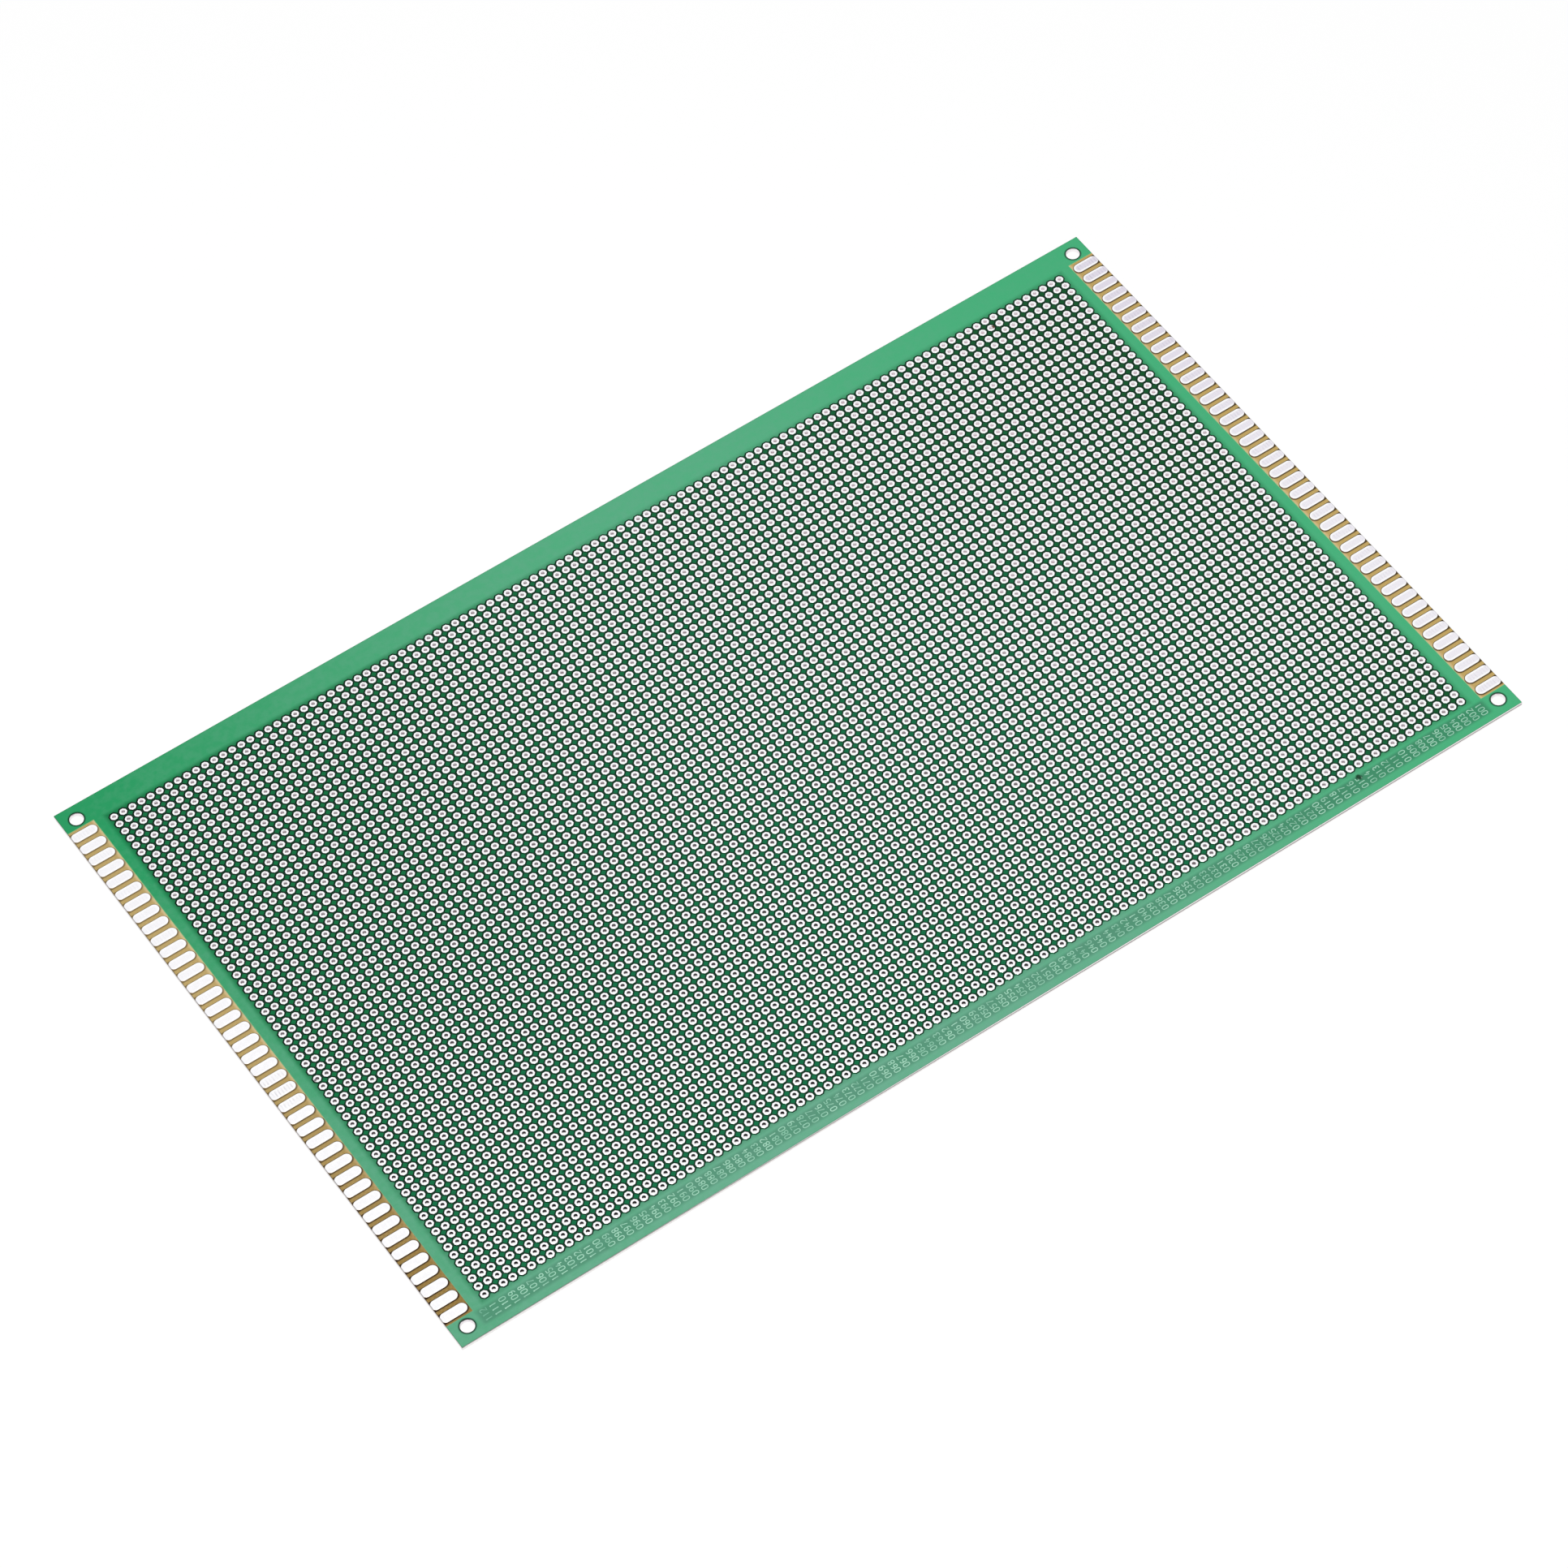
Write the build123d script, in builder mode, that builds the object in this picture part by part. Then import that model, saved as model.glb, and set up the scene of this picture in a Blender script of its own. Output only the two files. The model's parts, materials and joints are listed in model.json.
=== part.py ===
from build123d import *
import os
from math import sqrt

# A single-sided prototype board: a glass-fibre laminate with tinned octagonal pads on a
# square grid, a green solder mask printed round them, a row of bare contacts along each
# short end and a number beside every column of pads. All lengths are in millimetres.
# The origin is the middle of the underside. +X runs along the board, +Z out of the pads.

# Grid of pads
pad_columns = 110
pad_lines = 65
pad_pitch = 2.54
pad_gap = 0.38  # between the flats of two neighbouring pads
pad_height = 0.07  # copper foil and its coat of tin

# Drilled holes, as hexagons. One pad in every drill_step along both axes is drilled here
drill_width = 1.0
drill_step = 15

# Board
laminate_thickness = 1.2
end_margin = 11.57  # from the last column of pads to the short edge
side_margin = 8.72  # from the last line of pads to the long edge

# Mounting holes, one at each corner
mounting_hole_diameter = 3.5
mounting_hole_inset = 4.0  # from the hole's centre to both edges

# Edge contacts
contact_pitch = 4.064
contact_width = 2.76
contact_length = 6.85  # from the board's edge to the contact's inner end
contact_trim = 0.2  # what the board's edge cuts off the contact's outer end

# Solder mask
mask_thickness = 0.03
mask_relief = 0.05  # between a pad and the edge of the mask round it
web_thickness = 0.02  # of the mask that crosses a line between two of its pads
bay_tip_gap = 0.25  # from a contact's inner end to the mask
bay_end_gap = 0.69  # from the last contact's side to the mask

# Column numbers
ink_thickness = 0.02
digit_height = 1.8
number_length = 3.7
number_gap = 1.75  # from the last line of pads to the numbers
numbers_past_pads = 1  # at each end the row of numbers runs on by this many

# The grid of pads and its margins set the board's size
grid_length = (pad_columns - 1) * pad_pitch
grid_width = (pad_lines - 1) * pad_pitch
pad_width = pad_pitch - pad_gap
window_width = pad_width + 2 * mask_relief
board_length = grid_length + 2 * end_margin
board_width = grid_width + 2 * side_margin
hole_span_x = board_length - 2 * mounting_hole_inset
hole_span_y = board_width - 2 * mounting_hole_inset

# The drilled pads are spread about the middle of the grid
drill_columns = (pad_columns - 1) // drill_step + 1
drill_lines = (pad_lines - 1) // drill_step + 1
drill_shift_x = (pad_columns - 1 - (drill_columns - 1) * drill_step) % 2 * pad_pitch / 2
drill_shift_y = (pad_lines - 1 - (drill_lines - 1) * drill_step) % 2 * pad_pitch / 2

# The contacts share out the width of the grid
contact_count = round(grid_width / contact_pitch) + 1
contact_row_width = (contact_count - 1) * contact_pitch + contact_width
contact_full_length = contact_length + contact_trim
contact_centre_x = board_length / 2 - contact_length + contact_full_length / 2

# The mask leaves a bay at each short end for its row of contacts
bay_depth = contact_length + bay_tip_gap
bay_width = contact_row_width + 2 * bay_end_gap
bay_centre_x = (board_length - bay_depth) / 2

number_count = pad_columns + 2 * numbers_past_pads
number_centre_y = -(grid_width + pad_width + number_length) / 2 - number_gap

board_top = Plane.XY.offset(laminate_thickness)
octagon_cut = 1 / (2 + sqrt(2))  # the corner cut of a regular octagon, to its width


def strip_outline(length, width):
    # A strip along X that ends in half an octagon at each end
    with BuildSketch() as outline:
        Rectangle(length, width)
        chamfer(outline.vertices(), width * octagon_cut)
    return outline.sketch


with BuildSketch() as board_outline:
    Rectangle(board_length, board_width)
    with GridLocations(hole_span_x, hole_span_y, 2, 2):
        Circle(mounting_hole_diameter / 2, mode=Mode.SUBTRACT)

with BuildSketch() as drilled_holes:
    with Locations((drill_shift_x, drill_shift_y)):
        with GridLocations(drill_step * pad_pitch, drill_step * pad_pitch, drill_columns, drill_lines):
            RegularPolygon(drill_width / 2, 6, major_radius=False)

os.makedirs("parts", exist_ok=True)

# Laminate
with BuildPart() as laminate:
    with BuildSketch():
        add(board_outline.sketch)
        add(drilled_holes.sketch, mode=Mode.SUBTRACT)
    extrude(amount=laminate_thickness)
laminate.part.label = "laminate"
export_step(laminate.part, "parts/laminate.step")

# Pads, with each line of them joined into one tinned strip
with BuildPart() as pad_strips:
    with BuildSketch(board_top):
        with GridLocations(0, pad_pitch, 1, pad_lines):
            add(strip_outline(grid_length + pad_width, pad_width))
        add(drilled_holes.sketch, mode=Mode.SUBTRACT)
    extrude(amount=pad_height)
pad_strips.part.label = "pad_strips"
export_step(pad_strips.part, "parts/pad_strips.step")

# Solder mask, printed round the lines of pads and short of the contacts
with BuildPart() as solder_mask:
    with BuildSketch(board_top):
        add(board_outline.sketch)
        with GridLocations(0, pad_pitch, 1, pad_lines):
            Rectangle(grid_length + window_width, window_width, mode=Mode.SUBTRACT)
        with Locations((-bay_centre_x, 0), (bay_centre_x, 0)):
            Rectangle(bay_depth, bay_width, mode=Mode.SUBTRACT)
    extrude(amount=mask_thickness)
solder_mask.part.label = "solder_mask"
export_step(solder_mask.part, "parts/solder_mask.step")

# Webs of the mask between the pads of a line, as bars that cross every line
with BuildPart() as mask_webs:
    with BuildSketch(board_top.offset(pad_height)):
        with GridLocations(pad_pitch, 0, pad_columns - 1, 1):
            Rectangle(pad_gap, grid_width + pad_width)
    extrude(amount=web_thickness)
mask_webs.part.label = "mask_webs"
export_step(mask_webs.part, "parts/mask_webs.step")

# Contacts along both short ends, with their outer ends cut off square by the board's edge
for name, side in (("contacts_left", -1), ("contacts_right", 1)):
    with BuildPart() as contacts:
        with BuildSketch(board_top):
            with Locations((side * contact_centre_x, 0)):
                with GridLocations(0, contact_pitch, 1, contact_count):
                    add(strip_outline(contact_full_length, contact_width))
            Rectangle(board_length, board_width, mode=Mode.INTERSECT)
        extrude(amount=pad_height)
    contacts.part.label = name
    export_step(contacts.part, f"parts/{name}.step")

# Column numbers, each a plain field of ink as large as its three digits
with BuildPart() as column_numbers:
    with BuildSketch(board_top.offset(mask_thickness)):
        with Locations((0, number_centre_y)):
            with GridLocations(pad_pitch, 0, number_count, 1):
                Rectangle(digit_height, number_length)
    extrude(amount=ink_thickness)
column_numbers.part.label = "column_numbers"
export_step(column_numbers.part, "parts/column_numbers.step")
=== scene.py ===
import json
from functools import partial
from math import acos, ceil, cos, pi, radians, sin, sqrt, tau

import bpy
import numpy as np
from mathutils import Matrix, Vector

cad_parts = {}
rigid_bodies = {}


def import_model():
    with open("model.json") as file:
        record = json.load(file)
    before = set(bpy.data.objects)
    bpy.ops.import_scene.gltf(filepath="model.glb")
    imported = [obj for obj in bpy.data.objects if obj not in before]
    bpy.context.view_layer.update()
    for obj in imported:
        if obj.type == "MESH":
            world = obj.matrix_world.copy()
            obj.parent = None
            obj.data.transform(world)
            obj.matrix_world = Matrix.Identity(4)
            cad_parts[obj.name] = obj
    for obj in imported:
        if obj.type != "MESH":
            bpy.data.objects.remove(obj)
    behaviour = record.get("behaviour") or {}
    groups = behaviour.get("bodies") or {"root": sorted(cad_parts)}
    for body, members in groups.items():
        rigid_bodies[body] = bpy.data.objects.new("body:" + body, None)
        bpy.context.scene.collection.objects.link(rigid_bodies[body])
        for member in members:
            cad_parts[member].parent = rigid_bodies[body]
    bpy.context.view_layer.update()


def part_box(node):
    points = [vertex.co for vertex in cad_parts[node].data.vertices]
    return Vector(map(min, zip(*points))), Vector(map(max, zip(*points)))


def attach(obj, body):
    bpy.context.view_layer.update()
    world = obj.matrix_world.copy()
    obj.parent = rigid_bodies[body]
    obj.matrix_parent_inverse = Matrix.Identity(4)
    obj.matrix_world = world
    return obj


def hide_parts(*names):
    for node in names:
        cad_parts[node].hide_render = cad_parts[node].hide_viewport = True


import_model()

scene = bpy.context.scene

# A tinned single-sided prototype board. Metres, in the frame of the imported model.
mm = 0.001
boardLow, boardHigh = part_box("laminate")
endX, sideY, topZ = boardHigh
padsLow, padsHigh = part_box("pad_strips")
maskLow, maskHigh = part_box("solder_mask")
inkLow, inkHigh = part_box("column_numbers")
print("frame loaded, board", [round(side / mm, 2) for side in boardHigh - boardLow], "mm")

# What the whole board shares
board = {
    "columns": 110,
    "lines": 65,
    "pitch": 2.54 * mm,
    "bandLines": 5,  # the sheets are filled in bands of this many lines
    "frontBands": 7,  # so many bands are in the front half, the rest in the rear one
    "mountingHole": 3.5 * mm,
    "mountingInset": 4.0 * mm,
    "holeSegments": 48,
    "weld": 0.001 * mm,  # points of a sheet that are this close are one
}
gridHalfX = board["pitch"] * (board["columns"] - 1) / 2
gridHalfY = board["pitch"] * (board["lines"] - 1) / 2
fieldHalfX = gridHalfX + board["pitch"] / 2  # the pads' own cells end here
fieldHalfY = gridHalfY + board["pitch"] / 2
bandWidth = board["pitch"] * board["bandLines"]
padWidth = padsHigh.y - padsLow.y - 2 * gridHalfY
mountX, mountY = endX - board["mountingInset"], sideY - board["mountingInset"]

# Edge contacts, and the bays of bare laminate that they lie in
contactPlan = {
    "pitch": 4.064 * mm,
    "width": 2.76 * mm,
    "tip": 6.85 * mm,  # from the board's edge to the inner end
    "trim": 0.2 * mm,  # what the edge cuts off the round outer end
    "arcSteps": 12,
    "trimSteps": 5,
    "rings": ((0.0, 0.0), (0.03, 0.6), (0.10, 0.9), (0.24, 1.0)),  # inset in mm, share of the height
    "ripple": 0.82 * mm,
    "roughY": -8.0 * mm,  # the most rippled contacts of the left row
    "bayTipGap": 0.25 * mm,  # from a contact's inner end to the mask
    "bayEndGap": 0.69 * mm,  # from the last contact's side to the mask
}
contactCount = round(2 * gridHalfY / contactPlan["pitch"]) + 1
bayX = endX - contactPlan["tip"] - contactPlan["bayTipGap"]
bayY = ((contactCount - 1) * contactPlan["pitch"] + contactPlan["width"]) / 2 + contactPlan["bayEndGap"]


# Node helpers. Most of them find the tree from the sockets that they are given

def treeOf(values):
    return next(value for value in values if isinstance(value, bpy.types.NodeSocket)).id_data


def feed(value, socket):  # a socket of another node is linked, anything else is set
    if isinstance(value, bpy.types.NodeSocket):
        socket.id_data.links.new(value, socket)
    else:
        socket.default_value = value


def place(tree, kind, values=None, **settings):
    node = tree.nodes.new(kind)
    for name, value in settings.items():
        setattr(node, name, value)
    for name, value in (values or {}).items():
        feed(value, node.inputs[name])
    return node


def inOrder(values, kind, **settings):  # a node whose first inputs take the values one by one
    node = place(treeOf(values), kind, **settings)
    for socket, value in zip(node.inputs, values):
        feed(value, socket)
    return node.outputs


def calc(operation, *values):
    return inOrder(values, "ShaderNodeMath", operation=operation)[0]


times, over, plus, minus = [partial(calc, way) for way in ("MULTIPLY", "DIVIDE", "ADD", "SUBTRACT")]
larger, unsigned = partial(calc, "MAXIMUM"), partial(calc, "ABSOLUTE")
scaled = partial(calc, "MULTIPLY_ADD")  # value, factor, start


def calcVector(operation, *values):
    outputs = inOrder(values, "ShaderNodeVectorMath", operation=operation)
    return outputs["Value" if operation in ("LENGTH", "DISTANCE", "DOT_PRODUCT") else "Vector"]


def ramp(value, low, high, toLow=0.0, toHigh=1.0):  # a smooth step between two values
    values = value, low, high, toLow, toHigh
    return inOrder(values, "ShaderNodeMapRange", interpolation_type="SMOOTHSTEP")[0]


def split(vector):
    return place(vector.id_data, "ShaderNodeSeparateXYZ", {0: vector}).outputs


def combine(x=0.0, y=0.0, z=0.0):
    return inOrder((x, y, z), "ShaderNodeCombineXYZ")[0]


def blend(factor, first, second):  # of two colours
    node = place(treeOf((factor, first, second)), "ShaderNodeMix", data_type="RGBA")
    feed(factor, node.inputs[0])
    feed(first, node.inputs[6])
    feed(second, node.inputs[7])
    return node.outputs[2]


def onPiece(tree):  # the place on the piece
    return place(tree, "ShaderNodeTexCoord").outputs["Object"]


def startTree(name, kind, outputs, **inputs):  # the labels of the sockets under each kind
    tree = bpy.data.node_groups.new(name, kind + "NodeTree")
    for direction, sockets in (("INPUT", inputs), ("OUTPUT", outputs)):
        for socketKind, labels in sockets.items():
            for label in labels.split(", "):
                tree.interface.new_socket(label, in_out=direction, socket_type="NodeSocket" + socketKind)
    return tree, tree.nodes.new("NodeGroupInput").outputs, tree.nodes.new("NodeGroupOutput").inputs


# Finish groups that several materials use

def makeMottleGroup():  # soft clouds between two values
    tree, inside, out = startTree("mottle", "Shader", {"Float": "Tone"}, Float="Size, Low, High")
    scale = over(1.0, inside["Size"])
    noise = place(tree, "ShaderNodeTexNoise", {"Vector": onPiece(tree), "Scale": scale, "Detail": 3.0,
                                               "Roughness": 0.55})
    feed(ramp(noise.outputs[0], 0.3, 0.7, inside["Low"], inside["High"]), out["Tone"])
    return tree


def makeZoneGroup():  # 1 inside a rectangle about the board's middle, fading out past its sides
    tree, inside, out = startTree("zone", "Shader", {"Float": "Inside"}, Float="Half X, Half Y, Fade")
    x, y = split(calcVector("ABSOLUTE", onPiece(tree)))[:2]
    past = larger(minus(x, inside["Half X"]), minus(y, inside["Half Y"]))
    feed(ramp(past, 0.0, inside["Fade"], 1.0, 0.0), out["Inside"])
    return tree


def makeBeyondPadGroup():  # how far outside the nearest pad's edge a place is
    tree, inside, out = startTree("beyondPad", "Shader", {"Float": "Distance"},
                                  Float="Pitch, Half Width, Grid Half X, Grid Half Y")
    offsets = []
    for across, half in zip(split(calcVector("ABSOLUTE", onPiece(tree))), ("Grid Half X", "Grid Half Y")):
        past = minus(across, inside[half])
        between = calc("PINGPONG", calc("MINIMUM", past, 0.0), times(inside["Pitch"], 0.5))
        offsets.append(plus(between, larger(past, 0.0)))
    slanted = times(plus(*offsets), sqrt(0.5))
    reach = larger(larger(*offsets), slanted)
    feed(minus(reach, inside["Half Width"]), out["Distance"])
    return tree


def makeBeyondContactGroup():  # how far outside the nearest contact's edge a place is
    tree, inside, out = startTree("beyondContact", "Shader", {"Float": "Distance"},
                                  Float="Pitch, Radius, Inner X")
    x, y = split(calcVector("ABSOLUTE", onPiece(tree)))[:2]
    across = calc("PINGPONG", y, times(inside["Pitch"], 0.5))
    short = larger(minus(inside["Inner X"], x), 0.0)
    feed(minus(calcVector("LENGTH", combine(short, across)), inside["Radius"]), out["Distance"])
    return tree


def makeStainGroup():  # one ragged spot
    tree, inside, out = startTree("stain", "Shader", {"Float": "Mask"}, Vector="Centre",
                                  Float="Radius, Ragged")
    where = onPiece(tree)
    noise = place(tree, "ShaderNodeTexNoise", {"Vector": where, "Scale": 1100.0, "Detail": 3.0}).outputs[0]
    wander = times(minus(noise, 0.5), inside["Ragged"])
    away = plus(calcVector("DISTANCE", where, inside["Centre"]), wander)
    feed(ramp(away, times(inside["Radius"], 0.35), inside["Radius"], 1.0, 0.0), out["Mask"])
    return tree


def makeWeaveGroup():  # plain weave of the glass cloth, seen through the resin
    tree, inside, out = startTree("glassCloth", "Shader", {"Float": "Height, Tone"}, Float="Thread")
    turns = over(pi, inside["Thread"])
    warp, weft = [calc("SINE", times(across, turns)) for across in split(onPiece(tree))[:2]]
    crossed = times(warp, weft)
    feed(times(crossed, crossed), out["Height"])
    feed(scaled(crossed, 0.5, 0.5), out["Tone"])
    return tree


mottle, zone, stain, glassCloth = makeMottleGroup(), makeZoneGroup(), makeStainGroup(), makeWeaveGroup()
beyondPad, beyondContact = makeBeyondPadGroup(), makeBeyondContactGroup()
print("finish groups built")


def fromGroup(tree, group, **values):
    node = place(tree, "ShaderNodeGroup", node_tree=group)
    for name, value in values.items():
        feed(value, node.inputs[name.replace("_", " ")])
    return node.outputs


def clouds(tree, size, low=0.0, high=1.0):
    return fromGroup(tree, mottle, Size=size, Low=low, High=high)[0]


def withinField(tree, inset, fade):  # 1 among the pads, fading out at their field's sides
    return fromGroup(tree, zone, Half_X=fieldHalfX - inset, Half_Y=fieldHalfY - inset, Fade=fade)[0]


def spotted(tree, ground, centre, radius, ragged, shade):
    mask = fromGroup(tree, stain, Centre=centre, Radius=radius, Ragged=ragged)[0]
    return blend(mask, ground, shade)


def padDistance(tree):
    return fromGroup(tree, beyondPad, Pitch=board["pitch"], Half_Width=padWidth / 2, Grid_Half_X=gridHalfX,
                     Grid_Half_Y=gridHalfY)[0]


def contactDistance(tree):
    radius = contactPlan["width"] / 2
    return fromGroup(tree, beyondContact, Pitch=contactPlan["pitch"], Radius=radius,
                     Inner_X=endX - contactPlan["tip"] + radius)[0]


def edgeShade(tree):  # painted shade along the cut short ends, 1 at the left one and fainter at the right one
    x = split(onPiece(tree))["X"]
    line = ramp(minus(endX, unsigned(x)), 0.05 * mm, 0.2 * mm, 1.0, 0.0)
    return times(line, ramp(x, -mm, mm, 1.0, 0.4))


def colour(*shown):  # 0 to 255 as shown on a screen, to the linear values of a socket
    return *((((c / 255) + 0.055) / 1.055) ** 2.4 for c in shown), 1.0


black = (0.0, 0.0, 0.0, 1.0)


def newFinish(name, **values):
    material = bpy.data.materials.new(name)
    material.use_nodes = True
    tree = material.node_tree
    shader = tree.nodes["Principled BSDF"]
    for label, value in values.items():
        shader.inputs[label.replace("_", " ")].default_value = value
    return material, tree, shader.inputs


def bumpFrom(height, depth):
    values = {"Height": height, "Distance": depth, "Strength": 1.0}
    return place(height.id_data, "ShaderNodeBump", values).outputs[0]


# A fade in the plans below: where it starts, where it ends and, unless they are 0 and 1, its two values

# Laminate: glass cloth in resin, tan on its faces and paler where it is cut
laminatePlan = {
    "holeWidth": 1.02 * mm,
    "holeSides": 6,
    "thread": 0.62 * mm,
    "threadDepth": 0.004 * mm,
    "threadShare": (0.10, 0.04),  # in the thick of the clouds, and the least
    "threadClouds": 9 * mm,
    "threadTone": colour(234, 212, 158),
    "tanNear": colour(140, 110, 52),  # the left bay's near end, the browner one
    "nearX": (0.0, fieldHalfX, 1.0, 0.0),
    "nearY": (-sideY, 0.3 * sideY, 1.0, 0.0),
    "tanLeft": colour(186, 160, 102),
    "tanRight": colour(196, 166, 98),
    "tanTips": colour(224, 202, 158),  # along the contacts' inner ends
    "tips": (bayX + 0.1 * mm, bayX + 0.9 * mm, 0.6, 0.0),
    "topFrom": 0.9 * topZ,  # what lies higher belongs to the top face
    "outline": colour(34, 18, 9),  # flux stain and painted shadow round a contact
    "outlineFrom": 0.05 * mm,
    "outlineWidth": 0.36 * mm,
    "outlineLean": 0.26 * mm,  # wider by this on the near side, narrower on the far one
    "outlineShare": (0.6, 0.3, 0.4),  # left, what the right adds, what the near left adds
    "edgeShade": 0.7,
    "grooveShade": colour(1, 34, 20),  # painted shade in the narrow groove round each pad
    "grooveShadeFade": (0.2 * mm, 0.3 * mm, 1.0, 0.0),
    "cutEdge": colour(250, 248, 247),
    "cutGreyLine": colour(138, 126, 126),
    "cutPaintedGlow": colour(118, 115, 115),  # painted glow, as of light coming through the laminate
    "cutFuzz": (0.6 * mm, 0.0, 0.12),
    "greyLineLevel": (-endX, 0.3 * endX, topZ - 0.12 * mm, topZ - 0.67 * mm),
    "greyLineFade": (0.08 * mm, 0.34 * mm, 0.75, 0.0),
    # painted shade, painted light and a painted glow in the bores
    "boreShade": colour(22, 12, 16),
    "borePink": colour(226, 206, 214),
    "borePale": colour(246, 243, 245),
    "borePaintedGlow": colour(96, 92, 94),
    "shadeSide": (-0.35, -0.94, 0.0),  # the walls that face this way get painted shade
    "shadeAside": (0.7, -1.0, 0.3),  # how square on: at the mounts, change at the pads, fade
    "shadeFrom": (0.7 * mm, -0.76 * mm, 0.45 * mm),  # how high, in the same order
    "boreClouds": (1.3 * mm, -0.12 * mm, 0.12 * mm),
    "boreLightX": (-0.1 * endX, 0.75 * endX, 0.0, 0.6),
    "boreLightY": (-sideY, 0.8 * sideY, 0.0, 0.6),
    "boreLightPink": 0.8,
    "paleFrom": (0.2, 0.7),  # how much painted light a bore has where its top turns pale
    "paleTop": (0.6 * mm, 0.95 * mm),
    "bakeMap": {  # shares of it, where each kind of face goes
        "margin": 0.005, "span": 0.99, "top": 0.002, "under": 0.323, "longWall": 0.644, "hiddenWall": 0.659,
        "endWalls": 0.674, "ends": 0.33, "mounts": 0.66, "mountWidth": 0.165, "wallHeight": 0.011,
        "bores": 0.69, "boreHeight": 0.305, "acrossCell": (0.12, 0.76), "upCell": (0.15, 0.7),
    },
}


def makeLaminateFinish():
    plan = laminatePlan
    material, tree, shader = newFinish("laminate", Roughness=0.45, Specular_IOR_Level=0.12)
    weave = fromGroup(tree, glassCloth, Thread=plan["thread"])
    x, y, z = split(onPiece(tree))
    onTop = calc("GREATER_THAN", z, plan["topFrom"])
    rightward = ramp(x, -fieldHalfX, fieldHalfX)
    nearLeft = times(ramp(x, *plan["nearX"]), ramp(y, *plan["nearY"]))
    tan = blend(rightward, plan["tanLeft"], plan["tanRight"])
    tan = blend(nearLeft, tan, plan["tanNear"])
    tips = times(ramp(unsigned(x), *plan["tips"]), onTop)
    tan = blend(times(tips, minus(1.0, nearLeft)), tan, plan["tanTips"])
    streaks = times(weave["Tone"], scaled(clouds(tree, plan["threadClouds"]), *plan["threadShare"]))
    cloth = blend(streaks, tan, plan["threadTone"])
    # flux stain and painted shadow round each contact, leaning to the near side
    left, right, near = plan["outlineShare"]
    fading = scaled(nearLeft, near, scaled(rightward, right, left))
    side = calc("SINE", times(y, -tau / contactPlan["pitch"]))  # 1 on the near side
    reach = scaled(side, plan["outlineLean"], plan["outlineWidth"])
    around = times(fading, ramp(contactDistance(tree), plan["outlineFrom"], reach, 1.0, 0.0))
    # painted shade along the laminate's cut ends
    around = larger(around, times(edgeShade(tree), plan["edgeShade"]))
    cloth = blend(times(around, onTop), cloth, plan["outline"])
    grooveShade = times(ramp(padDistance(tree), *plan["grooveShadeFade"]), onTop)
    feed(blend(grooveShade, cloth, plan["grooveShade"]), shader["Base Color"])
    feed(bumpFrom(weave["Height"], plan["threadDepth"]), shader["Normal"])
    return material


def makeEdgeFinish():  # a grey line that lies high at the left end and lower at the right one, and a painted glow
    plan = laminatePlan
    material, tree, shader = newFinish("cutEdge", Roughness=0.7, Specular_IOR_Level=0.3,
                                       Emission_Strength=1.0)
    where = split(onPiece(tree))
    fuzz = clouds(tree, *plan["cutFuzz"])
    away = unsigned(minus(where["Z"], ramp(where["X"], *plan["greyLineLevel"])))
    tone = plus(ramp(away, *plan["greyLineFade"]), fuzz)
    feed(blend(tone, plan["cutEdge"], plan["cutGreyLine"]), shader["Base Color"])
    feed(blend(tone, plan["cutPaintedGlow"], black), shader["Emission Color"])
    feed(bumpFrom(fuzz, 0.02 * mm), shader["Normal"])
    return material


def makeBoreFinish():  # painted shade high on the rear wall, lighter to the rear and the right, and a painted glow
    plan = laminatePlan
    material, tree, shader = newFinish("drilledWall", Roughness=0.8, Specular_IOR_Level=0.2,
                                       Emission_Strength=1.0)
    x, y, z = split(onPiece(tree))
    small = withinField(tree, 0.0, mm)  # 1 in the pads' own holes, 0 in the mounting holes
    normal = place(tree, "ShaderNodeNewGeometry").outputs["Normal"]
    facing = calcVector("DOT_PRODUCT", normal, plan["shadeSide"])
    start, change, fade = plan["shadeFrom"]
    foot = scaled(small, change, start)
    high = ramp(plus(z, clouds(tree, *plan["boreClouds"])), foot, plus(foot, fade))
    start, change, fade = plan["shadeAside"]
    aside = scaled(small, change, start)
    # painted shade high on the walls that face the front
    shaded = times(high, ramp(facing, aside, plus(aside, fade)))
    # painted light, growing to the rear and the right
    boreLight = plus(ramp(x, *plan["boreLightX"]), ramp(y, *plan["boreLightY"]))
    paleTop = times(ramp(boreLight, *plan["paleFrom"]), ramp(z, *plan["paleTop"]))
    shaded = times(shaded, minus(1.0, times(paleTop, small)))
    wall = blend(times(boreLight, plan["boreLightPink"]), plan["boreShade"], plan["borePink"])
    feed(blend(shaded, plan["borePale"], wall), shader["Base Color"])
    feed(blend(shaded, plan["borePaintedGlow"], black), shader["Emission Color"])
    return material


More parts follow.
